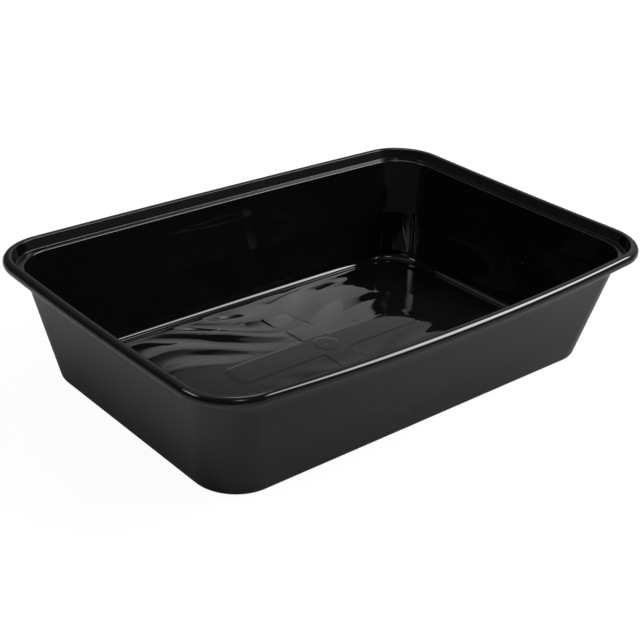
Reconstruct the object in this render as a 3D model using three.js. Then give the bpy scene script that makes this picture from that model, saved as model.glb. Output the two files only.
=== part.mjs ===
// A moulded plastic food tray: one thin shell with a crowned floor, drafted walls,
// a narrow ledge that a lid would sit on, and a round bead rolled outwards as its rim.
// Millimetres, +Z up. The origin is the middle of the base, on the surface that the tray stands on.
// X runs along the long sides and Y along the short ones.

import * as THREE from 'three';

// Driving dimensions.
const RIM_LENGTH = 175; // over the bead, at the corners
const RIM_WIDTH = 118.9; // over the bead, at the corners
const HEIGHT = 39.35; // to the top of the bead, at the corners
const RIM_CORNER_RADIUS = 17.2; // outside of the bead
const WALL_CORNER_RADIUS = 13.9; // outside of the wall, the same all the way down

const LONG_SIDE_BOW = 2.45; // the rim's long sides bulge outwards by this in their middle
const LONG_SIDE_SAG = 0.9; // and dip by this
const SHORT_SIDE_BOW = 0.3; // the short sides much less
const SHORT_SIDE_SAG = 0.4;
const BOW_POWER = 1.5; // how the bow fades from the rim to the straight base

const WALL_THICKNESS = 0.5;
const FLOOR_THICKNESS = 0.6;
const RIM_THICKNESS = 0.55;

// Insets are measured inwards from the outside of the bead.
const BEAD_RADIUS = 1.82;
const BEAD_EDGE_ANGLE = 60; // the bead's top ends inwards here, in a crisp edge; 90 is its crest
const BEAD_TIP_ANGLE = 268; // and outwards it rolls this far round
const LEG_INSET = 3.47; // inner face of the steep leg between bead and ledge, at the leg's foot
const LEG_DROP = 2.8; // foot of that leg below the rim's top
const LEDGE_DROP = 3.4;
const LEDGE_ROUND = 0.5;
const WALL_TOP_INSET = 5.12; // outer face of the wall, just under the ledge
const WALL_TOP_DROP = 4.0;
const WALL_FOOT_INSET = 12.05; // outer face of the wall, just above the base
const BASE_ROUND = 1.61; // outside round between wall and base
const FLOOR_ROUND = 2.0; // inside round between wall and floor
const FOOT_WIDTH = 1.3; // flat ring that the tray stands on

const CROWN_RISE = 4.6; // the floor's middle stands this high over its edge
const CROWN_LENGTH_POWER = 5.1; // nearly flat along X, falling off near the ends
const CROWN_WIDTH_POWER = 2.0; // an even arch across Y

// Smoothness of the faceted solid.
const CORNER_STEPS = 9;
const LONG_STEPS = 10;
const SHORT_STEPS = 6;
const FLOOR_RINGS = [0.96, 0.89, 0.79, 0.66, 0.5, 0.33, 0.16];

const HALF_LENGTH = RIM_LENGTH / 2;
const HALF_WIDTH = RIM_WIDTH / 2;
const DEGREE = Math.PI / 180;

// One ring round the tray: how far in it lies, how high, and the radius of its corners.
const station = (inset, z, radius) => ({ inset, z, radius });

// The bead and the leg keep the bead's own centres of curvature, so the bead is as thick in the corners.
const rimRadius = (inset) => RIM_CORNER_RADIUS - inset;

// How much of the rim's bow and sag reaches a height: all of it from the ledge up.
const bowShare = (z) => Math.pow(Math.min(z / (HEIGHT - WALL_TOP_DROP), 1), BOW_POWER);

// Height of the crowned floor over its edge.
function crown(x, y) {
  const halfLength = HALF_LENGTH - WALL_FOOT_INSET - WALL_THICKNESS;
  const halfWidth = HALF_WIDTH - WALL_FOOT_INSET - WALL_THICKNESS;
  const alongX = 1 - Math.pow(Math.min(Math.abs(x) / halfLength, 1), CROWN_LENGTH_POWER);
  const acrossY = 1 - Math.pow(Math.min(Math.abs(y) / halfWidth, 1), CROWN_WIDTH_POWER);
  return CROWN_RISE * alongX * acrossY;
}

// Points of an arc in the section, as stations. Angles are in degrees, 0 points inwards and 90 up.
function arc(inset, z, radius, from, to, steps, cornerRadius) {
  const stations = [];
  for (let i = 0; i <= steps; i += 1) {
    const angle = (from + ((to - from) * i) / steps) * DEGREE;
    const reach = inset + radius * Math.cos(angle);
    stations.push(station(reach, z + radius * Math.sin(angle), cornerRadius(reach)));
  }
  return stations;
}

// Outer face of the wall at a height.
function wallInset(z) {
  const top = HEIGHT - WALL_TOP_DROP;
  const share = (z - BASE_ROUND) / (top - BASE_ROUND);
  return WALL_FOOT_INSET + (WALL_TOP_INSET - WALL_FOOT_INSET) * share;
}

const DRAFT = Math.atan(
  (WALL_FOOT_INSET - WALL_TOP_INSET) / (HEIGHT - WALL_TOP_DROP - BASE_ROUND),
) / DEGREE;

// The ring that the tray stands on, and the round up to the wall.
function foot() {
  const centre = WALL_FOOT_INSET + BASE_ROUND;
  const radius = (inset) => WALL_CORNER_RADIUS - (inset - WALL_FOOT_INSET);
  return [
    station(centre + FOOT_WIDTH, 0, radius(centre + FOOT_WIDTH)),
    ...arc(centre, BASE_ROUND, BASE_ROUND, 270, 180 + DRAFT, 5, radius),
  ];
}

function outerWall() {
  const top = HEIGHT - WALL_TOP_DROP;
  const heights = [0.33, 0.66, 1].map((share) => BASE_ROUND + (top - BASE_ROUND) * share);
  return heights.map((z) => station(wallInset(z), z, WALL_CORNER_RADIUS));
}

// The bead's crisp inner edge, from which the leg slopes down to its foot.
const EDGE_INSET = BEAD_RADIUS * (1 + Math.cos(BEAD_EDGE_ANGLE * DEGREE));
const EDGE_DROP = BEAD_RADIUS * (1 - Math.sin(BEAD_EDGE_ANGLE * DEGREE));
const LEG_SLOPE = (LEG_INSET - EDGE_INSET) / (LEG_DROP - EDGE_DROP);

// Outer face of the leg at a height.
function legOutside(z) {
  const inner = LEG_INSET + LEG_SLOPE * (HEIGHT - LEG_DROP - z);
  return inner - RIM_THICKNESS * Math.hypot(1, LEG_SLOPE);
}

// Where the leg's outer face runs into the round hollow of the bead, as an angle of that round.
function hollowStart() {
  const hollow = BEAD_RADIUS - RIM_THICKNESS;
  const offset = legOutside(HEIGHT - BEAD_RADIUS) - BEAD_RADIUS;
  const lean = Math.atan(LEG_SLOPE);
  return (lean + Math.acos((offset * Math.cos(lean)) / hollow)) / DEGREE;
}

// Underside of the ledge, and the hollow of the bead from the leg round to the bead's tip.
function beadHollow() {
  const hollow = BEAD_RADIUS - RIM_THICKNESS;
  const ledgeUnder = HEIGHT - LEDGE_DROP - RIM_THICKNESS;
  const legRoot = legOutside(ledgeUnder + LEDGE_ROUND);
  return [
    station(WALL_TOP_INSET - 0.3, ledgeUnder, WALL_CORNER_RADIUS),
    station(legRoot + LEDGE_ROUND, ledgeUnder, rimRadius(legRoot + LEDGE_ROUND)),
    station(legRoot, ledgeUnder + LEDGE_ROUND, rimRadius(legRoot)),
    ...arc(BEAD_RADIUS, HEIGHT - BEAD_RADIUS, hollow, hollowStart(), BEAD_TIP_ANGLE, 8, rimRadius),
  ];
}

// Outside of the bead, from its tip underneath, over the top, to its inner edge.
function beadOutside() {
  const middle = HEIGHT - BEAD_RADIUS;
  const underneath = arc(BEAD_RADIUS, middle, BEAD_RADIUS, BEAD_TIP_ANGLE, 180, 5, rimRadius);
  const outerHalf = arc(BEAD_RADIUS, middle, BEAD_RADIUS, 180, 90, 6, rimRadius);
  const innerHalf = arc(BEAD_RADIUS, middle, BEAD_RADIUS, 90, BEAD_EDGE_ANGLE, 3, rimRadius);
  return [...underneath, ...outerHalf.slice(1), ...innerHalf.slice(1)];
}

// The foot of the leg inside the bead, and the ledge.
function ledge() {
  const radius = (inset) => Math.max(rimRadius(inset), WALL_CORNER_RADIUS - WALL_THICKNESS);
  const legFoot = HEIGHT - LEG_DROP;
  const seat = HEIGHT - LEDGE_DROP;
  const edge = WALL_TOP_INSET + WALL_THICKNESS;
  const hollowRound = LEDGE_DROP - LEG_DROP;
  return [
    station(LEG_INSET, legFoot, radius(LEG_INSET)),
    ...arc(LEG_INSET + hollowRound, legFoot, hollowRound, 180, 270, 3, radius).slice(1),
    ...arc(edge - LEDGE_ROUND, seat - LEDGE_ROUND, LEDGE_ROUND, 90, 0, 3, radius),
  ];
}

function innerWall() {
  const heights = [0.66, 0.33].map((share) => HEIGHT * share);
  const radius = WALL_CORNER_RADIUS - WALL_THICKNESS;
  return heights.map((z) => station(wallInset(z) + WALL_THICKNESS, z, radius));
}

// The inside round between wall and floor.
function floorRound() {
  const start = WALL_FOOT_INSET + WALL_THICKNESS;
  const radius = (inset) => WALL_CORNER_RADIUS - WALL_THICKNESS - (inset - start);
  const height = FLOOR_THICKNESS + FLOOR_ROUND;
  return arc(start + FLOOR_ROUND, height, FLOOR_ROUND, 180 + DRAFT, 265, 5, radius);
}

// A straight side from one corner to the next, bowed and sagging with the rim.
function addSide(points, from, to, steps, outward, bow, sag, z) {
  const share = bowShare(z);
  for (let i = 1; i < steps; i += 1) {
    const t = i / steps;
    const belly = share * (1 - Math.pow(2 * t - 1, 2));
    points.push(new THREE.Vector3(
      from.x + (to.x - from.x) * t + outward.x * bow * belly,
      from.y + (to.y - from.y) * t + outward.y * bow * belly,
      z - sag * belly,
    ));
  }
}

function addCorner(points, centre, radius, startAngle, z) {
  for (let i = 0; i <= CORNER_STEPS; i += 1) {
    const angle = (startAngle + (90 * i) / CORNER_STEPS) * DEGREE;
    const x = centre.x + radius * Math.cos(angle);
    const y = centre.y + radius * Math.sin(angle);
    points.push(new THREE.Vector3(x, y, z));
  }
}

// All points of one ring, anticlockwise seen from above.
function ring({ inset, z, radius }) {
  const points = [];
  const x = HALF_LENGTH - inset - radius;
  const y = HALF_WIDTH - inset - radius;
  const corners = [[x, y], [-x, y], [-x, -y], [x, -y]];
  const outward = [new THREE.Vector2(0, 1), new THREE.Vector2(-1, 0),
    new THREE.Vector2(0, -1), new THREE.Vector2(1, 0)];
  corners.forEach(([cx, cy], side) => {
    addCorner(points, new THREE.Vector2(cx, cy), radius, 90 * side, z);
    const [nx, ny] = corners[(side + 1) % 4];
    const out = outward[side].clone().multiplyScalar(radius);
    const from = new THREE.Vector2(cx, cy).add(out);
    const to = new THREE.Vector2(nx, ny).add(out);
    const isLong = side % 2 === 0;
    const steps = isLong ? LONG_STEPS : SHORT_STEPS;
    const bow = isLong ? LONG_SIDE_BOW : SHORT_SIDE_BOW;
    const sag = isLong ? LONG_SIDE_SAG : SHORT_SIDE_SAG;
    addSide(points, from, to, steps, outward[side], bow, sag, z);
  });
  return points;
}

// Rings of the crowned floor, shrunk from its edge towards the middle.
function crownRings(edge, lift, shares) {
  return shares.map((share) => edge.map(({ x, y }) => {
    const height = lift + crown(x * share, y * share);
    return new THREE.Vector3(x * share, y * share, height);
  }));
}

// Skins neighbouring rings together, from the middle underneath to the middle on top.
function skin(rings, bottom, top) {
  const around = rings[0].length;
  const positions = [bottom, ...rings.flat(), top].flatMap(({ x, y, z }) => [x, y, z]);
  const index = [];
  const last = rings.length * around + 1;
  const at = (level, i) => 1 + level * around + (i % around);
  for (let i = 0; i < around; i += 1) {
    index.push(0, at(0, i + 1), at(0, i));
    for (let level = 0; level + 1 < rings.length; level += 1) {
      index.push(at(level, i), at(level, i + 1), at(level + 1, i + 1));
      index.push(at(level, i), at(level + 1, i + 1), at(level + 1, i));
    }
    index.push(last, at(rings.length - 1, i), at(rings.length - 1, i + 1));
  }
  const geometry = new THREE.BufferGeometry();
  geometry.setAttribute('position', new THREE.Float32BufferAttribute(positions, 3));
  geometry.setIndex(index);
  geometry.computeVertexNormals();
  return geometry;
}

function trayGeometry() {
  const stations = [
    ...foot(), ...outerWall(), ...beadHollow(), ...beadOutside(), ...ledge(), ...innerWall(), ...floorRound(),
  ];
  const sides = stations.map(ring);
  const underside = crownRings(sides[0], 0, [...FLOOR_RINGS].reverse());
  const floor = crownRings(sides[sides.length - 1], FLOOR_THICKNESS, FLOOR_RINGS);
  const bottom = new THREE.Vector3(0, 0, crown(0, 0));
  const top = new THREE.Vector3(0, 0, crown(0, 0) + FLOOR_THICKNESS);
  return skin([...underside, ...sides, ...floor], bottom, top);
}

const blackPlastic = new THREE.MeshStandardMaterial({ color: 0x101011, roughness: 0.25, metalness: 0 });

const tray = new THREE.Mesh(trayGeometry(), blackPlastic);
tray.name = 'tray';

const foodTray = new THREE.Group();
foodTray.add(tray);

export default foodTray;
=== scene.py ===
"""An empty food tray of black plastic, seen from above one corner on a pale studio floor.

The tray is one closed skin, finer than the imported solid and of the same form: a foot ring,
drafted walls, a narrow ledge, a bead rolled outwards as its rim, and a crowned floor. The skin
adds shallow moulded marks and soft waves to the floor, and fine lines to the inner wall.
Sizes are in millimetres until they reach Blender, which works in metres.
"""

import math

import bpy
import numpy as np
from mathutils import Matrix, Vector


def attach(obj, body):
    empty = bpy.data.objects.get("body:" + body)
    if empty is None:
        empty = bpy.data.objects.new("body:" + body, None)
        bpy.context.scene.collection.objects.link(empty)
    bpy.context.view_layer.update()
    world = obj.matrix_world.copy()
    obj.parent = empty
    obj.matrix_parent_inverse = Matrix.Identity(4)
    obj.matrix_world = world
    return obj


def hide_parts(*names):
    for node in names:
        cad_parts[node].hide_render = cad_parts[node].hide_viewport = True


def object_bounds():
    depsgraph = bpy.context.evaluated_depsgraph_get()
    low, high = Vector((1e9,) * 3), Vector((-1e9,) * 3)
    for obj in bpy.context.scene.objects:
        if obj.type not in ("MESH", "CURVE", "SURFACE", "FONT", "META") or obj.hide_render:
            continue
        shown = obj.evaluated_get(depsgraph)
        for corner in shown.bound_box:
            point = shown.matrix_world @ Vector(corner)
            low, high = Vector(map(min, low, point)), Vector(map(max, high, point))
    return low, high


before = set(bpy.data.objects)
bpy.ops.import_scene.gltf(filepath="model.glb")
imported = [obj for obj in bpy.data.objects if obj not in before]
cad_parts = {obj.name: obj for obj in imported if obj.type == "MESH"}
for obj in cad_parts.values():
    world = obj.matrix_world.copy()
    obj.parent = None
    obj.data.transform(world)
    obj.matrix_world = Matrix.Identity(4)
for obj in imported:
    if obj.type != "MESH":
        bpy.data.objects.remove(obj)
frame_low, frame_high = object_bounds()

MM = 0.001

# The solid's box, in millimetres.
BOX_LENGTH = (frame_high.x - frame_low.x) / MM
BOX_WIDTH = (frame_high.y - frame_low.y) / MM
HEIGHT = frame_high.z / MM

# The rim's form.
LONG_SIDE_BOW = 2.45  # the rim's long sides bulge outwards by this in their middle
LONG_SIDE_SAG = 0.9  # and dip by this
SHORT_SIDE_BOW = 0.3
SHORT_SIDE_SAG = 0.4
BOW_POWER = 1.5  # how the bow fades towards the base
RIM_CORNER_RADIUS = 17.2
WALL_CORNER_RADIUS = 13.9
HALF_LENGTH = BOX_LENGTH / 2 - SHORT_SIDE_BOW
HALF_WIDTH = BOX_WIDTH / 2 - LONG_SIDE_BOW

# The section, as insets from the outside of the bead and drops from its top.
WALL_THICKNESS = 0.5
FLOOR_THICKNESS = 0.6
RIM_THICKNESS = 0.55
BEAD_RADIUS = 1.82
BEAD_EDGE_ANGLE = 60  # the bead ends here inwards, in a crisp edge; 90 is its crest
BEAD_TIP_ANGLE = 268  # and outwards it is rolled as far as here
LEG_INSET = 3.47  # foot of the steep leg between bead and ledge
LEG_DROP = 2.8
LEDGE_DROP = 3.4
LEDGE_ROUND = 0.5
GUTTER_ROUND = 0.25  # between leg and ledge
UNDER_ROUND = 0.3  # between the wall's outer face and the ledge's underside
UNDER_MARGIN = 0.35  # its centre is this far out, and the wall ends this far under the ledge
WALL_TOP_INSET = 5.12
WALL_TOP_DROP = 4.0
WALL_FOOT_INSET = 12.05
BASE_ROUND = 1.61
FLOOR_ROUND = 2.0
FOOT_WIDTH = 1.3

# The crowned floor.
CROWN_RISE = 4.6
CROWN_LENGTH_POWER = 5.1
CROWN_WIDTH_POWER = 2.0
CROWN_INSET = WALL_FOOT_INSET + WALL_THICKNESS
PATCH_INSET = 15.4  # the floor's own net starts here, inside the round of its edge

EDGE_INSET = BEAD_RADIUS * (1 + math.cos(math.radians(BEAD_EDGE_ANGLE)))
EDGE_DROP = BEAD_RADIUS * (1 - math.sin(math.radians(BEAD_EDGE_ANGLE)))
EDGE_CRISPNESS = 0.03  # how far the turn at the bead's inner edge reaches down the leg
LEG_SLOPE = (LEG_INSET - EDGE_INSET) / (LEG_DROP - EDGE_DROP)
LEG_STRETCH = math.hypot(1, LEG_SLOPE)
DRAFT = math.atan((WALL_FOOT_INSET - WALL_TOP_INSET) / (HEIGHT - WALL_TOP_DROP - BASE_ROUND))


# ---------------------------------------- camera

# The view that the photograph was taken from. Lengths are in millimetres.
VIEW_AZIMUTH = math.radians(-41.549)
VIEW_ELEVATION = math.radians(27.120)
VIEW_ROLL = math.radians(2.842)
VIEW_DISTANCE = 406.19
VIEW_SIDE_STEP = -2.481
VIEW_UP_STEP = -10.146
VIEW_TARGET_HEIGHT = 25.0
FOCAL_PIXELS = 1294.03
IMAGE_SIDE = 640
SENSOR_WIDTH = 36.0
CLIP_RANGE = (0.01, 50.0)  # metres


def make_camera():
    """The camera at the photograph's viewpoint, with its focal length and slight roll."""
    az, el, roll = VIEW_AZIMUTH, VIEW_ELEVATION, VIEW_ROLL
    back = Vector((math.sin(az) * math.cos(el), -math.cos(az) * math.cos(el), math.sin(el)))
    right = Vector((math.cos(az), math.sin(az), 0.0))
    up = back.cross(right)
    place = Vector((0, 0, VIEW_TARGET_HEIGHT)) + VIEW_SIDE_STEP * right + VIEW_UP_STEP * up
    place += VIEW_DISTANCE * back
    rolled_right = right * math.cos(roll) + up * math.sin(roll)
    rolled_up = up * math.cos(roll) - right * math.sin(roll)
    data = bpy.data.cameras.new("camera")
    data.sensor_width = SENSOR_WIDTH
    data.lens = FOCAL_PIXELS * SENSOR_WIDTH / IMAGE_SIDE
    data.clip_start, data.clip_end = CLIP_RANGE
    camera = bpy.data.objects.new("camera", data)
    bpy.context.scene.collection.objects.link(camera)
    turn = Matrix((rolled_right, rolled_up, back)).transposed().to_4x4()
    camera.matrix_world = Matrix.Translation(place * MM) @ turn
    bpy.context.scene.camera = camera


# ---------------------------------------- the net that every ring and the floor share

CORNER_CELLS = 12  # across one half of a corner's arc
COARSE_CELL = 1.0
FINE_CELL = 0.3
FINE_TO_X, FINE_TO_Y = 6.6, 8.4  # the net is finest round the ring mark, out to here
CROSS_END_CELL = 0.4
CROSS_END_FROM, CROSS_END_TO = 24.4, 30.8  # and finer across the ends of the cross's short arms
TINY = 1e-9


def spaced(stops):
    """Values from the first stop's place to the last one's.

    A stop is (place, cell size up to the next stop).
    """
    values = []
    for (start, cell), (end, _) in zip(stops, stops[1:]):
        count = max(1, round((end - start) / cell))
        values += [start + (end - start) * i / count for i in range(count)]
    return np.array(values + [stops[-1][0]])


def mirrored(values):
    """Values from zero upwards, carried over to the negative side too."""
    return np.concatenate([-values[:0:-1], values])


def net_axis(stops):
    """Along one axis: where each line lies between the corner blocks, from -1 to 1, and how
    far it reaches into a block."""
    middle = mirrored(spaced(stops))
    steps = np.arange(1, CORNER_CELLS + 1) / CORNER_CELLS
    into = math.sqrt(2) * np.sin(steps * math.pi / 4)
    ones = np.ones(CORNER_CELLS)
    along = np.concatenate([-ones, middle / middle[-1], ones])
    block = np.concatenate([-into[::-1], np.zeros(len(middle)), into])
    return along, block


def corner_reach(inset, radius):
    """Half sizes of the rectangle of corner centres."""
    return HALF_LENGTH - inset - radius, HALF_WIDTH - inset - radius


PATCH_RADIUS = WALL_CORNER_RADIUS - WALL_THICKNESS - (PATCH_INSET - CROWN_INSET)
PATCH_X, PATCH_Y = corner_reach(PATCH_INSET, PATCH_RADIUS)
ALONG_X, BLOCK_X = net_axis([(0, FINE_CELL), (FINE_TO_X, COARSE_CELL), (PATCH_X, 0)])
ALONG_Y, BLOCK_Y = net_axis([
    (0, FINE_CELL),
    (FINE_TO_Y, COARSE_CELL),
    (CROSS_END_FROM, CROSS_END_CELL),
    (CROSS_END_TO, COARSE_CELL),
    (PATCH_Y, 0),
])
LAST_X, LAST_Y = len(ALONG_X) - 1, len(ALONG_Y) - 1


def around():
    """Indices (i, j) of the net's border, anticlockwise from above, starting at +X, -Y."""
    right = [(LAST_X, j) for j in range(LAST_Y)]
    back = [(i, LAST_Y) for i in range(LAST_X, 0, -1)]
    left = [(0, j) for j in range(LAST_Y, 0, -1)]
    front = [(i, 0) for i in range(LAST_X)]
    return np.array(right + back + left + front)


def outward(block_x, block_y):
    """How a corner block's square bends into a quarter disc: unit vectors on its border."""
    bent_x = block_x * np.sqrt(1 - block_y**2 / 2)
    bent_y = block_y * np.sqrt(1 - block_x**2 / 2)
    return np.stack([bent_x, bent_y], axis=-1)


BORDER_I, BORDER_J = around().T
SIDE_X, SIDE_Y = ALONG_X[BORDER_I], ALONG_Y[BORDER_J]
OUTWARD = outward(BLOCK_X[BORDER_I], BLOCK_Y[BORDER_J])
RING_POINTS = len(SIDE_X)
ON_LONG = (np.abs(SIDE_Y) == 1) & (np.abs(OUTWARD[:, 0]) < TINY)
ON_SHORT = (np.abs(SIDE_X) == 1) & (np.abs(OUTWARD[:, 1]) < TINY)
BELLY = np.where(ON_LONG, 1 - SIDE_X**2, np.where(ON_SHORT, 1 - SIDE_Y**2, 0))
BOW = np.where(ON_LONG, LONG_SIDE_BOW, SHORT_SIDE_BOW) * BELLY
SAG = np.where(ON_LONG, LONG_SIDE_SAG, SHORT_SIDE_SAG) * BELLY


def bow_share(z):
    """How much of the rim's bow and sag reaches a height."""
    return np.clip(z / (HEIGHT - WALL_TOP_DROP), 0, 1) ** BOW_POWER


def ring(inset, z, radius):
    """One ring of points. Inset, height and corner radius are numbers, or one for each point."""
    share = bow_share(np.asarray(z, float))
    reach_x, reach_y = corner_reach(inset, radius)
    out = (radius + BOW * share)[:, None] * OUTWARD
    x, y = SIDE_X * reach_x + out[:, 0], SIDE_Y * reach_y + out[:, 1]
    return np.stack([x, y, z - SAG * share], axis=1)


# ---------------------------------------- the section, from the foot round to the inner wall

# A station of the section is (inset, height, corner radius).


def rim_radius(inset):
    """Corner radius of the bead and the leg."""
    return RIM_CORNER_RADIUS - inset


def inner_radius(inset):
    """Corner radius inside the rim, never tighter than the inner wall's."""
    return max(RIM_CORNER_RADIUS - inset, WALL_CORNER_RADIUS - WALL_THICKNESS)


def wall_radius(inset):
    """Corner radius of the outer wall, the same at each inset."""
    return WALL_CORNER_RADIUS


def base_radius(inset):
    """Corner radius of the base, inwards from the wall's foot."""
    return WALL_CORNER_RADIUS - (inset - WALL_FOOT_INSET)


def wall_inset(z):
    """Outer face of the wall at a height."""
    top = HEIGHT - WALL_TOP_DROP
    share = (z - BASE_ROUND) / (top - BASE_ROUND)
    return WALL_FOOT_INSET + (WALL_TOP_INSET - WALL_FOOT_INSET) * share


def leg_inside(z):
    """Inner face of the leg between bead and ledge, at a height."""
    return LEG_INSET + LEG_SLOPE * (HEIGHT - LEG_DROP - z)


def leg_outside(z):
    """Outer face of that leg."""
    return leg_inside(z) - RIM_THICKNESS * LEG_STRETCH


def arc(inset, z, radius, start, end, steps, corner_radius):
    """Stations on an arc of the section. Angles are in degrees, 0 points inwards and 90 up."""
    angles = np.radians(np.linspace(start, end, steps + 1))
    places = zip(inset + radius * np.cos(angles), z + radius * np.sin(angles))
    return [(d, h, corner_radius(d)) for d, h in places]


def straight(start, end, steps):
    """Stations between two others, without the two."""
    shares = [i / steps for i in range(1, steps)]
    return [tuple(a + (b - a) * s for a, b in zip(start, end)) for s in shares]


def joined(*runs):
    """Runs of stations in a row.

    A number between two runs fills the gap with that many straight steps.
    """
    stations = list(runs[0])
    for steps, run in zip(runs[1::2], runs[2::2]):
        stations += straight(stations[-1], run[0], steps) + list(run)
    return stations


def outside_section():
    """From the foot ring up the outer wall and round the bead to the top of the inner wall."""
    draft, lean = math.degrees(DRAFT), math.degrees(math.atan(LEG_SLOPE))

    foot_centre = WALL_FOOT_INSET + BASE_ROUND
    foot_edge = foot_centre + FOOT_WIDTH
    foot = [(foot_edge, 0.0, base_radius(foot_edge))]
    base = arc(foot_centre, BASE_ROUND, BASE_ROUND, 270, 180 + draft, 8, base_radius)

    ledge_under = HEIGHT - LEDGE_DROP - RIM_THICKNESS
    wall_end = ledge_under - UNDER_MARGIN
    wall_top = [(wall_inset(wall_end), wall_end, WALL_CORNER_RADIUS)]
    under_inset, under_z = WALL_TOP_INSET - UNDER_MARGIN, ledge_under - UNDER_ROUND
    under = arc(under_inset, under_z, UNDER_ROUND, 0, 90, 3, wall_radius)

    root_z = ledge_under + LEDGE_ROUND
    root = arc(leg_outside(root_z) + LEDGE_ROUND, root_z, LEDGE_ROUND, 270, 180, 4, rim_radius)

    middle = HEIGHT - BEAD_RADIUS
    hollow = BEAD_RADIUS - RIM_THICKNESS
    reach = (leg_outside(middle) - BEAD_RADIUS) * math.cos(math.radians(lean)) / hollow
    hollow_start = lean + math.degrees(math.acos(reach))
    inside = arc(BEAD_RADIUS, middle, hollow, hollow_start, BEAD_TIP_ANGLE, 8, rim_radius)
    outside = arc(BEAD_RADIUS, middle, BEAD_RADIUS, BEAD_TIP_ANGLE, 180, 8, rim_radius)
    over = arc(BEAD_RADIUS, middle, BEAD_RADIUS, 180, 90, 12, rim_radius)
    crest = arc(BEAD_RADIUS, middle, BEAD_RADIUS, 90, BEAD_EDGE_ANGLE, 5, rim_radius)
    below_edge = EDGE_INSET + LEG_SLOPE * EDGE_CRISPNESS
    crisp = [(below_edge, HEIGHT - EDGE_DROP - EDGE_CRISPNESS, inner_radius(below_edge))]

    seat = HEIGHT - LEDGE_DROP
    gutter_z = seat + GUTTER_ROUND
    gutter_inset = leg_inside(gutter_z) + GUTTER_ROUND * LEG_STRETCH
    gutter = arc(gutter_inset, gutter_z, GUTTER_ROUND, 180 + lean, 270, 5, inner_radius)
    lip_inset = WALL_TOP_INSET + WALL_THICKNESS - LEDGE_ROUND
    lip = arc(lip_inset, seat - LEDGE_ROUND, LEDGE_ROUND, 90, 0, 5, inner_radius)
    return joined(
        foot, 2, base, 6, wall_top, 1, under, 2, root, 2, inside, 2, outside, 1, over[1:],
        1, crest[1:], 1, crisp, 3, gutter, 1, lip,
    )


# ---------------------------------------- the crowned floor


def crown(x, y):
    """Height of the floor over its edge."""
    share_x = np.clip(np.abs(x) / (HALF_LENGTH - CROWN_INSET), 0, 1)
    share_y = np.clip(np.abs(y) / (HALF_WIDTH - CROWN_INSET), 0, 1)
    return CROWN_RISE * (1 - share_x**CROWN_LENGTH_POWER) * (1 - share_y**CROWN_WIDTH_POWER)


# Shallow marks that the mould left on the floor.
CROSS_HALF_LENGTH = 37.5  # the cross-shaped field, which stands a little over the rest
CROSS_BACK = 29.4  # half the length of its short arms
CROSS_HALF_WIDTH = 5.3
CROSS_ROUND = 3.5
CROSS_RISE = 0.10
CROSS_EDGE = 0.6
RING_RADIUS = 4.1  # the raised round in its middle
RING_RISE = 0.07
RING_EDGE = 0.8
GATE_RADIUS = 0.9
GATE_DEPTH = 0.09
CREASE_Y = 30.9  # a fine line along each long side of the floor
CREASE_HALF_LENGTH = 47.0
CREASE_FADE = 4.0
CREASE_HEIGHT = 0.035
CREASE_WIDTH = 0.5


def eased(value):
    """From 0 to 1 over a value from 0 to 1, without a kink."""
    value = np.clip(value, 0, 1)
    return value * value * (3 - 2 * value)


def round_box(x, y, half_x, half_y, radius):
    """Distance outside a rounded rectangle, negative inside."""
    over_x, over_y = np.abs(x) - half_x + radius, np.abs(y) - half_y + radius
    outside = np.hypot(np.maximum(over_x, 0), np.maximum(over_y, 0))
    return outside + np.minimum(np.maximum(over_x, over_y), 0) - radius


def marks(x, y):
    """Height of the moulded marks."""
    arms = round_box(x, y, CROSS_HALF_LENGTH, CROSS_HALF_WIDTH, CROSS_ROUND)
    short_arms = round_box(x, y, CROSS_HALF_WIDTH, CROSS_BACK, CROSS_ROUND)
    height = CROSS_RISE * eased(0.5 - np.minimum(arms, short_arms) / CROSS_EDGE)
    out = np.hypot(x, y)
    height += RING_RISE * eased(0.5 - (out - RING_RADIUS) / RING_EDGE)
    height -= GATE_DEPTH * eased(1 - out / GATE_RADIUS)
    along = eased((CREASE_HALF_LENGTH - np.abs(x)) / CREASE_FADE)
    from_crease = (np.abs(y) - CREASE_Y) / (CREASE_WIDTH / 2)
    height += CREASE_HEIGHT * along * np.exp(-(from_crease**2))
    return height


# Soft waves of the thin floor.
FLOOR_WAVES = (
    # direction in degrees from X, length and height, phase in degrees
    (80, 15.0, 0.26, 200),
    (60, 30.0, 0.15, 250),
    (15, 44.0, 0.12, 70),
    (84, 3.9, 0.0060, 0),
    (76, 3.1, 0.0040, 50),
)
WAVE_BEND = 12.0  # how far the waves' crests meander
WAVE_BEND_LENGTH = 80.0
WAVE_BEND_PHASES = (0.7, 1.9)  # radians, of the bend along X and along Y
CALM_HALF_WIDTH = 6.0  # the strip along the floor's middle is calm
CALM_EDGE = 13.0
WAVES_END_X = 46.0  # and so is the floor's end from here on towards +X
WAVES_END_EDGE = 16.0
WAVE_EDGE = 3.0  # over this width the waves die out at the floor's edge


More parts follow.
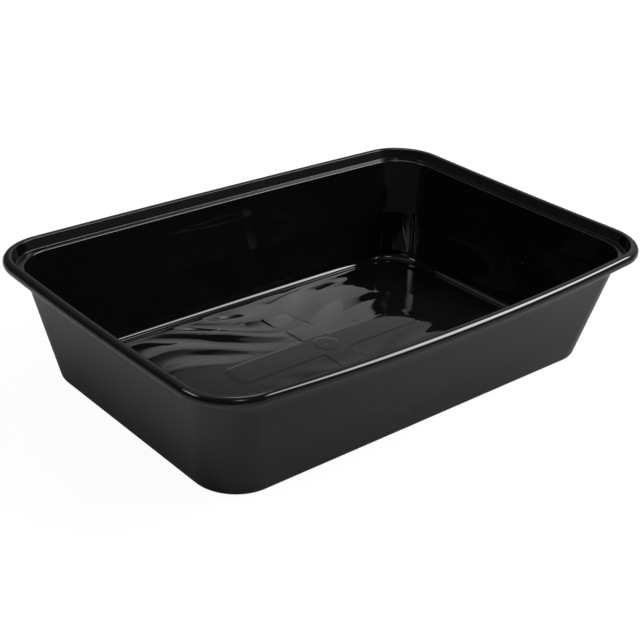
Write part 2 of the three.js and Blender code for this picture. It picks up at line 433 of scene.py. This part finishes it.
def waves(x, y):
    """Height of the floor's waves, which die out at its middle line, +X end and edge."""
    phase_x, phase_y = WAVE_BEND_PHASES
    bent_x = x + WAVE_BEND * np.sin(2 * np.pi * y / WAVE_BEND_LENGTH + phase_x)
    bent_y = y + WAVE_BEND * np.sin(2 * np.pi * x / WAVE_BEND_LENGTH + phase_y)
    height = np.zeros_like(x)
    for direction, length, rise, phase in FLOOR_WAVES:
        a = math.radians(direction)
        across = bent_x * math.cos(a) + bent_y * math.sin(a)
        height += rise * np.sin(2 * np.pi * across / length + math.radians(phase))
    half_x, half_y = HALF_LENGTH - PATCH_INSET, HALF_WIDTH - PATCH_INSET
    inwards = -round_box(x, y, half_x, half_y, PATCH_RADIUS)
    wavy = eased((np.abs(y) - CALM_HALF_WIDTH) / CALM_EDGE)
    wavy *= eased((WAVES_END_X - x) / WAVES_END_EDGE)
    return height * wavy * eased(inwards / WAVE_EDGE)


# ---------------------------------------- from the inner wall down to the floor

SLOPE_STEP = 0.05  # over which the floor's slope is measured, each way
HALVINGS = 30  # they find where the round of the floor's edge touches the floor

# Fine lines that the mould left round the inner wall.
WALL_LINES = (17.7, 4.0)  # their heights
WALL_LINE_RISE = 0.035
WALL_LINE_HALF_WIDTH = 0.3
WALL_PLAIN = (30.0, 24.0, 11.0)  # heights of the plain rings over and between them


def inner_ring(inset, z):
    """A ring inside the wall's foot, where each point may have its own inset and height."""
    return ring(inset, z, WALL_CORNER_RADIUS - WALL_THICKNESS - (inset - CROWN_INSET))


def floor_line(inset):
    """Height and slope of the crowned floor under each point of an inner ring."""
    level = np.zeros(RING_POINTS)
    low, high = (inner_ring(inset + s, level) for s in (-SLOPE_STEP, SLOPE_STEP))
    heights = [FLOOR_THICKNESS + crown(p[:, 0], p[:, 1]) for p in (low, high)]
    return sum(heights) / 2, (heights[1] - heights[0]) / (2 * SLOPE_STEP)


def floor_round_rings(steps):
    """The round between inner wall and floor, which touches both all the way round."""
    near, far = np.full(RING_POINTS, CROWN_INSET), np.full(RING_POINTS, PATCH_INSET)
    wall_at_zero = wall_inset(0) + WALL_THICKNESS + FLOOR_ROUND / math.cos(DRAFT)
    for _ in range(HALVINGS):
        touch = (near + far) / 2
        height, slope = floor_line(touch)
        tilt = np.arctan(slope)
        centre_inset = touch - FLOOR_ROUND * np.sin(tilt)
        centre_z = height + FLOOR_ROUND * np.cos(tilt)
        too_far = centre_inset > wall_at_zero - math.tan(DRAFT) * centre_z
        near, far = np.where(too_far, near, touch), np.where(too_far, touch, far)
    rings = []
    for i in range(steps + 1):
        angle = (math.pi + DRAFT) + (math.pi / 2 - DRAFT + tilt) * i / steps
        inset = centre_inset + FLOOR_ROUND * np.cos(angle)
        rings.append(inner_ring(inset, centre_z + FLOOR_ROUND * np.sin(angle)))
    return rings


def inner_wall_rings(top, bottom):
    """The rings down the inner wall, with a fine ridge at each line."""
    heights = [(z, 0.0) for z in WALL_PLAIN]
    for z in WALL_LINES:
        over, under = z + WALL_LINE_HALF_WIDTH, z - WALL_LINE_HALF_WIDTH
        heights += [(over, 0.0), (z, WALL_LINE_RISE), (under, 0.0)]
    rings = []
    for z, rise in sorted(heights, reverse=True):
        share = (top[:, 2].max() - z) / (top[:, 2].max() - bottom[:, 2].mean())
        points = top + (bottom - top) * share
        points[:, :2] -= rise * OUTWARD
        rings.append(points)
    return rings


# ---------------------------------------- the whole skin

UNDERSIDE_SHARES = (0.06, 0.14, 0.24, 0.35, 0.46, 0.57, 0.68, 0.78, 0.87, 0.94, 0.98)
FLOOR_ROUND_STEPS = 8
LEDGE_SATIN = 0.35  # the ledge that a lid would sit on is duller than the rest of the inside
LEDGE_START = LEG_INSET - 0.1  # its insets, with a margin that takes in its last stations
LEDGE_END = WALL_TOP_INSET + WALL_THICKNESS - LEDGE_ROUND + 0.01
SATIN_BELOW_TIP = 8  # stations from the bead's outermost point down to the satin part


def satin_shares(sections):
    """How satin each station is: fully below the bead's outside, a little on the lid's ledge."""
    outermost = min(range(len(sections)), key=lambda i: sections[i][0])
    shares = []
    for i, (inset, _, _) in enumerate(sections):
        if i < outermost - SATIN_BELOW_TIP:
            shares.append(1.0)
        elif i > outermost and LEDGE_START < inset < LEDGE_END:
            shares.append(LEDGE_SATIN)
        else:
            shares.append(0.0)
    return shares


def underside_rings(foot_ring):
    """Rings from near the middle of the underside out to the foot ring."""
    rings = []
    for share in UNDERSIDE_SHARES:
        x, y = foot_ring[:, 0] * share, foot_ring[:, 1] * share
        rings.append(np.stack([x, y, crown(x, y)], axis=1))
    return rings


def floor_net():
    """Points of the floor's net, with their indices along X and Y as its first two axes."""
    bend = outward(*np.meshgrid(BLOCK_X, BLOCK_Y, indexing="ij"))
    x = ALONG_X[:, None] * PATCH_X + PATCH_RADIUS * bend[..., 0]
    y = ALONG_Y[None, :] * PATCH_Y + PATCH_RADIUS * bend[..., 1]
    z = FLOOR_THICKNESS + crown(x, y) + marks(x, y) + waves(x, y)
    return np.stack([x, y, z], axis=-1)


def tray_faces(ring_total, inside_total):
    """A fan underneath, then bands from ring to ring, then the floor's net.

    Points are counted as tray_mesh puts them in a row: the middle underneath, the rings, and
    the inside of the net, whose border is the last ring.
    """
    here = np.arange(RING_POINTS)
    after = (here + 1) % RING_POINTS
    faces = [np.stack([np.zeros(RING_POINTS, int), 1 + after, 1 + here, 1 + here], axis=1)]
    for level in range(ring_total - 1):
        low, high = 1 + level * RING_POINTS, 1 + (level + 1) * RING_POINTS
        faces.append(np.stack([low + here, low + after, high + after, high + here], axis=1))
    at = np.zeros((LAST_X + 1, LAST_Y + 1), int)
    inside = 1 + ring_total * RING_POINTS + np.arange(inside_total)
    at[1:-1, 1:-1] = inside.reshape(LAST_X - 1, LAST_Y - 1)
    at[BORDER_I, BORDER_J] = 1 + (ring_total - 1) * RING_POINTS + here
    net = np.stack([at[:-1, :-1], at[1:, :-1], at[1:, 1:], at[:-1, 1:]], axis=-1)
    return np.concatenate([*faces, net.reshape(-1, 4)])


def tray_mesh():
    """The tray's closed skin, from the middle underneath, out, up, over the rim and down to
    the floor's middle. Gives its points, its faces and how satin it is at each point."""
    sections = outside_section()
    sides = [ring(*station) for station in sections]
    underside = underside_rings(sides[0])
    rounds = floor_round_rings(FLOOR_ROUND_STEPS)
    wall = inner_wall_rings(sides[-1], rounds[0])
    net = floor_net()
    rings = [*underside, *sides, *wall, *rounds, net[BORDER_I, BORDER_J]]
    inside = net[1:-1, 1:-1].reshape(-1, 3)
    middle = np.array([[0, 0, CROWN_RISE]])
    points = np.concatenate([middle, *rings, inside])

    ring_satin = [1.0] * len(underside) + satin_shares(sections)
    ring_satin += [0.0] * (len(rings) - len(ring_satin))
    satin = np.concatenate([[1.0], np.repeat(ring_satin, RING_POINTS), np.zeros(len(inside))])
    return points * MM, tray_faces(len(rings), len(inside)), satin


def make_mesh(name, points, faces):
    """A smooth-shaded mesh. A face whose last two indices are the same is a triangle."""
    mesh = bpy.data.meshes.new(name)
    lists = [f[:3] if f[2] == f[3] else f for f in faces.tolist()]
    mesh.from_pydata(points.tolist(), [], lists)
    mesh.update()
    mesh.shade_smooth()
    return mesh


# ---------------------------------------- nodes


def node(tree, kind, **values):
    """A new node, with its properties and its inputs set by name."""
    made = tree.nodes.new(kind)
    for name, value in values.items():
        if hasattr(made, name):
            setattr(made, name, value)
        else:
            made.inputs[name].default_value = value
    return made


def placed(tree, kind, place, **values):
    """A node whose vector is a place."""
    made = node(tree, kind, **values)
    tree.links.new(place, made.inputs["Vector"])
    return made


def math_node(tree, operation, *inputs):
    """A Math node over sockets or numbers; gives its output."""
    made = tree.nodes.new("ShaderNodeMath")
    made.operation = operation
    for socket, value in zip(made.inputs, inputs):
        if isinstance(value, (int, float)):
            socket.default_value = value
        else:
            tree.links.new(value, socket)
    return made.outputs[0]


def eased_range(tree, value, low, high, below, above):
    """Eases from one level to another while a value goes from low to high."""
    made = node(tree, "ShaderNodeMapRange", interpolation_type="SMOOTHSTEP")
    levels = {"From Min": low, "From Max": high, "To Min": below, "To Max": above}
    for name, level in levels.items():
        made.inputs[name].default_value = level
    tree.links.new(value, made.inputs["Value"])
    return made.outputs["Result"]


# ---------------------------------------- the plastic

INDEX_OF_REFRACTION = 1.49
PLASTIC_TONE = (0.0038, 0.0038, 0.0040)
TONE_SHARES = (0.85, 1.15)  # how the tone varies
GLOSS_ROUGHNESS = (0.02, 0.05)
SATIN_ROUGHNESS = (0.27, 0.30)
CLOUD_SCALE = 30.0  # large soft unevenness of tone and satin
CLOUD_SPAN = (0.3, 0.7)
HAZE_SCALE = 140.0  # fine unevenness of the gloss
WIPE_SCALES = (40, 260, 260)  # wipe marks, which run along X
UNEVEN_SPAN = (0.12, 0.45)
DUST_SCALE = 75.0
DUST_RADII = (0.012, 0.020)  # of a speck, against the distance between specks
DUST_TONE = (0.30, 0.30, 0.29)
DUST_COVER = 0.5
GRAIN_SCALE = 2600.0
GRAIN_HEIGHT = 0.00002  # metres
GRAIN_SHARE = 0.03
RIPPLE_SCALE = 150.0
RIPPLE_HEIGHT = 0.000004  # metres

# Sockets of a Mix node, which have no names of their own.
MIX_SHARE = 0
MIX_NUMBERS = (2, 3)
MIX_COLOURS = (6, 7)
MIXED_NUMBER, MIXED_COLOUR = 0, 2


def plastic_roughness(tree, place, cloud, satin):
    """Hazy gloss with wipe marks, or an uneven satin, by how satin the place is."""
    haze = placed(tree, "ShaderNodeTexNoise", place, Scale=HAZE_SCALE, Detail=4.0, Roughness=0.6)
    wipes_place = placed(tree, "ShaderNodeMapping", place, Scale=WIPE_SCALES).outputs["Vector"]
    wipes = placed(tree, "ShaderNodeTexNoise", wipes_place, Scale=1.0, Detail=3.0)
    uneven = math_node(tree, "MULTIPLY", haze.outputs["Fac"], wipes.outputs["Fac"])
    rough = node(tree, "ShaderNodeMix", data_type="FLOAT")
    gloss = eased_range(tree, uneven, *UNEVEN_SPAN, *GLOSS_ROUGHNESS)
    matt = eased_range(tree, cloud, *CLOUD_SPAN, *SATIN_ROUGHNESS)
    tree.links.new(satin, rough.inputs[MIX_SHARE])
    tree.links.new(gloss, rough.inputs[MIX_NUMBERS[0]])
    tree.links.new(matt, rough.inputs[MIX_NUMBERS[1]])
    return rough.outputs[MIXED_NUMBER]


def plastic_colour(tree, place, cloud):
    """Near black, slightly uneven, with a few specks of dust."""
    specks = placed(tree, "ShaderNodeTexVoronoi", place, Scale=DUST_SCALE)
    dust = eased_range(tree, specks.outputs["Distance"], *DUST_RADII, 1.0, 0.0)
    tone = node(tree, "ShaderNodeMix", data_type="RGBA")
    tree.links.new(math_node(tree, "MULTIPLY", dust, DUST_COVER), tone.inputs[MIX_SHARE])
    for socket, colour in zip(MIX_COLOURS, (PLASTIC_TONE, DUST_TONE)):
        tone.inputs[socket].default_value = (*colour, 1)
    depth = node(tree, "ShaderNodeMix", data_type="RGBA", blend_type="MULTIPLY")
    depth.inputs[MIX_SHARE].default_value = 1.0
    shares = eased_range(tree, cloud, *CLOUD_SPAN, *TONE_SHARES)
    tree.links.new(tone.outputs[MIXED_COLOUR], depth.inputs[MIX_COLOURS[0]])
    tree.links.new(shares, depth.inputs[MIX_COLOURS[1]])
    return depth.outputs[MIXED_COLOUR]


def plastic_normal(tree, place, satin):
    """A fine grain where the plastic is satin, and a shallow ripple where it is glossy."""
    grain = placed(tree, "ShaderNodeTexNoise", place, Scale=GRAIN_SCALE, Detail=1.0)
    grain_bump = node(tree, "ShaderNodeBump", Distance=GRAIN_HEIGHT)
    grain_strength = math_node(tree, "MULTIPLY", satin, GRAIN_SHARE)
    tree.links.new(grain.outputs["Fac"], grain_bump.inputs["Height"])
    tree.links.new(grain_strength, grain_bump.inputs["Strength"])
    ripple = placed(tree, "ShaderNodeTexNoise", place, Scale=RIPPLE_SCALE, Detail=1.0)
    ripple_bump = node(tree, "ShaderNodeBump", Distance=RIPPLE_HEIGHT)
    ripple_strength = math_node(tree, "SUBTRACT", 1.0, satin)
    tree.links.new(ripple.outputs["Fac"], ripple_bump.inputs["Height"])
    tree.links.new(ripple_strength, ripple_bump.inputs["Strength"])
    tree.links.new(grain_bump.outputs["Normal"], ripple_bump.inputs["Normal"])
    return ripple_bump.outputs["Normal"]


def black_plastic():
    """Black polypropylene: glossy where the mould was polished, satin on the wall's outside."""
    material = bpy.data.materials.new("black_plastic")
    material.use_nodes = True
    tree = material.node_tree
    tree.nodes.clear()
    shader = node(tree, "ShaderNodeBsdfPrincipled", IOR=INDEX_OF_REFRACTION)
    out = node(tree, "ShaderNodeOutputMaterial")
    tree.links.new(shader.outputs["BSDF"], out.inputs["Surface"])

    place = node(tree, "ShaderNodeTexCoord").outputs["Object"]
    satin = node(tree, "ShaderNodeAttribute", attribute_name="satin").outputs["Fac"]
    clouds = placed(tree, "ShaderNodeTexNoise", place, Scale=CLOUD_SCALE, Detail=2.0)
    cloud = clouds.outputs["Fac"]
    tree.links.new(plastic_roughness(tree, place, cloud, satin), shader.inputs["Roughness"])
    tree.links.new(plastic_colour(tree, place, cloud), shader.inputs["Base Color"])
    tree.links.new(plastic_normal(tree, place, satin), shader.inputs["Normal"])
    return material


def make_tray():
    """The tray's skin, which takes the place of the solid."""
    points, faces, satin = tray_mesh()
    mesh = make_mesh("tray_skin", points, faces)
    mesh.attributes.new("satin", "FLOAT", "POINT").data.foreach_set("value", satin)
    mesh.materials.append(black_plastic())
    tray = bpy.data.objects.new("tray_skin", mesh)
    bpy.context.scene.collection.objects.link(tray)
    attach(tray, "root")
    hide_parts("tray")


# ---------------------------------------- the studio, in metres

# Radiances are against a white of 1. Directions are (azimuth, elevation) in degrees, from the
# tray: azimuth 0 is -Y and 90 is +X, and the camera is at about -42.
SOFT_BOXES = (
    # name, direction, distance, width and height, radiance at its two ends
    ("key", (60, 43), 1.2, (0.94, 0.60), (9.0, 14.5)),
    ("side", (-119, 46), 1.2, (0.66, 0.40), (5.5, 5.5)),
    ("back", (131, 62), 1.2, (0.52, 0.40), (4.5, 4.5)),
)
SOFT_EDGE = 0.18  # over which a box fades out at its edges
LOBES = (
    # direction, width in degrees, radiance
    ((100, 34), 20, 0.30),
    ((136, 24), 10, 0.30),
    ((40, 8), 16, 0.08),
    ((166, 65), 14, 0.6),
    ((-12, 61), 4, 5.0),
)
ROOM_RADIANCE = 0.08

PAINT_ROUGHNESS = 0.9
FLOOR_HALF, FLOOR_Z = 3, -0.0003  # the floor as the tray sees it
FLOOR_TONE = 0.51
SIDE_GLOW = 0.34  # its extra light in a strip along the -X side
SIDE_GLOW_BEYOND = 0.25  # and the share of it that is left beyond the strip
SIDE_GLOW_NEAR, SIDE_GLOW_MIDDLE, SIDE_GLOW_FAR = -0.070, -0.112, -0.155
SEEN_FLOOR_Z = -0.0001  # the floor as the camera sees it
SEEN_FLOOR_TONE, SEEN_FLOOR_GLOW = 0.1, 0.95
BACKDROP_HALF, BACKDROP_FOOT, BACKDROP_TOP = 6, -1, 6


def toward(azimuth, elevation):
    """Unit vector to a place round the tray."""
    a, e = math.radians(azimuth), math.radians(elevation)
    return Vector((math.sin(a) * math.cos(e), -math.cos(a) * math.cos(e), math.sin(e)))


def glow(name, strength):
    """A plain white emitter."""
    material = bpy.data.materials.new(name)
    material.use_nodes = True
    tree = material.node_tree
    tree.nodes.clear()
    emission = node(tree, "ShaderNodeEmission", Strength=strength)
    out = node(tree, "ShaderNodeOutputMaterial")
    tree.links.new(emission.outputs[0], out.inputs["Surface"])
    return material


def paint(name, tone, glowing=0.0):
    """A matt pale paint, with a little light of its own where the floor has to reach white."""
    material = bpy.data.materials.new(name)
    material.use_nodes = True
    shader = material.node_tree.nodes["Principled BSDF"]
    shader.inputs["Base Color"].default_value = (tone, tone, tone, 1)
    shader.inputs["Roughness"].default_value = PAINT_ROUGHNESS
    shader.inputs["Specular IOR Level"].default_value = 0.0
    shader.inputs["Emission Color"].default_value = (1, 1, 1, 1)
    shader.inputs["Emission Strength"].default_value = glowing
    return material


def floor_paint():
    """The floor as the tray sees it, with more light on the -X side than the boxes give it."""
    material = paint("floor", FLOOR_TONE)
    tree = material.node_tree
    split = node(tree, "ShaderNodeSeparateXYZ")
    tree.links.new(node(tree, "ShaderNodeTexCoord").outputs["Object"], split.inputs[0])
    x = split.outputs["X"]
    rising = eased_range(tree, x, SIDE_GLOW_MIDDLE, SIDE_GLOW_NEAR, SIDE_GLOW, 0.0)
    fading = eased_range(tree, x, SIDE_GLOW_FAR, SIDE_GLOW_MIDDLE, SIDE_GLOW_BEYOND, 1.0)
    glowing = math_node(tree, "MULTIPLY", rising, fading)
    tree.links.new(glowing, tree.nodes["Principled BSDF"].inputs["Emission Strength"])
    return material


def stage_mesh(name, points, faces, material, camera_only):
    """A part of the studio, seen either by the camera alone or by everything else alone."""
    mesh = bpy.data.meshes.new(name)
    mesh.from_pydata(points, [], faces)
    mesh.materials.append(material)
    made = bpy.data.objects.new(name, mesh)
    bpy.context.scene.collection.objects.link(made)
    made.visible_camera = camera_only
    made.visible_diffuse = made.visible_glossy = made.visible_transmission = not camera_only
    made.visible_shadow = not camera_only


def level_square(half, z):
    """Corners of a square round the tray's middle."""
    return [(-half, -half, z), (half, -half, z), (half, half, z), (-half, half, z)]


def make_soft_box(name, direction, distance, size, radiance):
    """A soft box aimed at the tray, whose radiance runs evenly from one end to the other."""
    wide, high = size
    dim, bright = radiance
    data = bpy.data.lights.new(name, "AREA")
    data.shape = "RECTANGLE"
    data.size, data.size_y = wide, high
    data.energy = math.pi * wide * high  # a strength of 1 is then a radiance of 1
    data.use_nodes = True
    tree = data.node_tree
    place = node(tree, "ShaderNodeNewGeometry")
    split = node(tree, "ShaderNodeSeparateXYZ")
    tree.links.new(place.outputs["Parametric"], split.inputs[0])
    strength = math_node(tree, "MULTIPLY_ADD", split.outputs["X"], bright - dim, dim)
    for axis, length in (("X", wide), ("Y", high)):
        from_end = math_node(tree, "PINGPONG", split.outputs[axis], 0.5)
        fading = eased_range(tree, from_end, 0.0, SOFT_EDGE / length, 0.0, 1.0)
        strength = math_node(tree, "MULTIPLY", strength, fading)
    tree.links.new(strength, tree.nodes["Emission"].inputs["Strength"])
    light = bpy.data.objects.new(name, data)
    bpy.context.scene.collection.objects.link(light)
    way = toward(*direction)
    light.location = way * distance
    light.rotation_mode = "QUATERNION"
    light.rotation_quaternion = way.to_track_quat("Z", "Y")
    light.visible_camera = False


def make_room():
    """A dim room with soft pale areas, which only the tray and the floor see."""
    world = bpy.data.worlds.new("studio")
    bpy.context.scene.world = world
    world.use_nodes = True
    tree = world.node_tree
    place = node(tree, "ShaderNodeTexCoord")
    total = ROOM_RADIANCE
    for direction, width, radiance in LOBES:
        dot = node(tree, "ShaderNodeVectorMath", operation="DOT_PRODUCT")
        tree.links.new(place.outputs["Generated"], dot.inputs[0])
        dot.inputs[1].default_value = toward(*direction)
        sharpness = 1 / math.radians(width) ** 2
        away = math_node(tree, "MULTIPLY_ADD", dot.outputs["Value"], sharpness, -sharpness)
        lobe = math_node(tree, "EXPONENT", away)
        total = math_node(tree, "MULTIPLY_ADD", lobe, radiance, total)
    background = tree.nodes["Background"]
    background.inputs["Color"].default_value = (1, 1, 1, 1)
    tree.links.new(total, background.inputs["Strength"])


def make_studio():
    """The floor, the backdrop, the soft boxes and the room."""
    bpy.context.scene.view_settings.view_transform = "Standard"
    square = [(0, 1, 2, 3)]
    floor = level_square(FLOOR_HALF, FLOOR_Z)
    stage_mesh("floor", floor, square, floor_paint(), False)
    seen_floor = level_square(BACKDROP_HALF, SEEN_FLOOR_Z)
    seen_paint = paint("floor_as_seen", SEEN_FLOOR_TONE, SEEN_FLOOR_GLOW)
    stage_mesh("floor_as_seen", seen_floor, square, seen_paint, True)
    backdrop = level_square(BACKDROP_HALF, BACKDROP_FOOT)
    backdrop += level_square(BACKDROP_HALF, BACKDROP_TOP)
    sides_and_top = [(0, 1, 5, 4), (1, 2, 6, 5), (2, 3, 7, 6), (3, 0, 4, 7), (4, 5, 6, 7)]
    stage_mesh("backdrop", backdrop, sides_and_top, glow("backdrop", 1.0), True)
    for box in SOFT_BOXES:
        make_soft_box(*box)
    make_room()


make_camera()
make_tray()
make_studio()
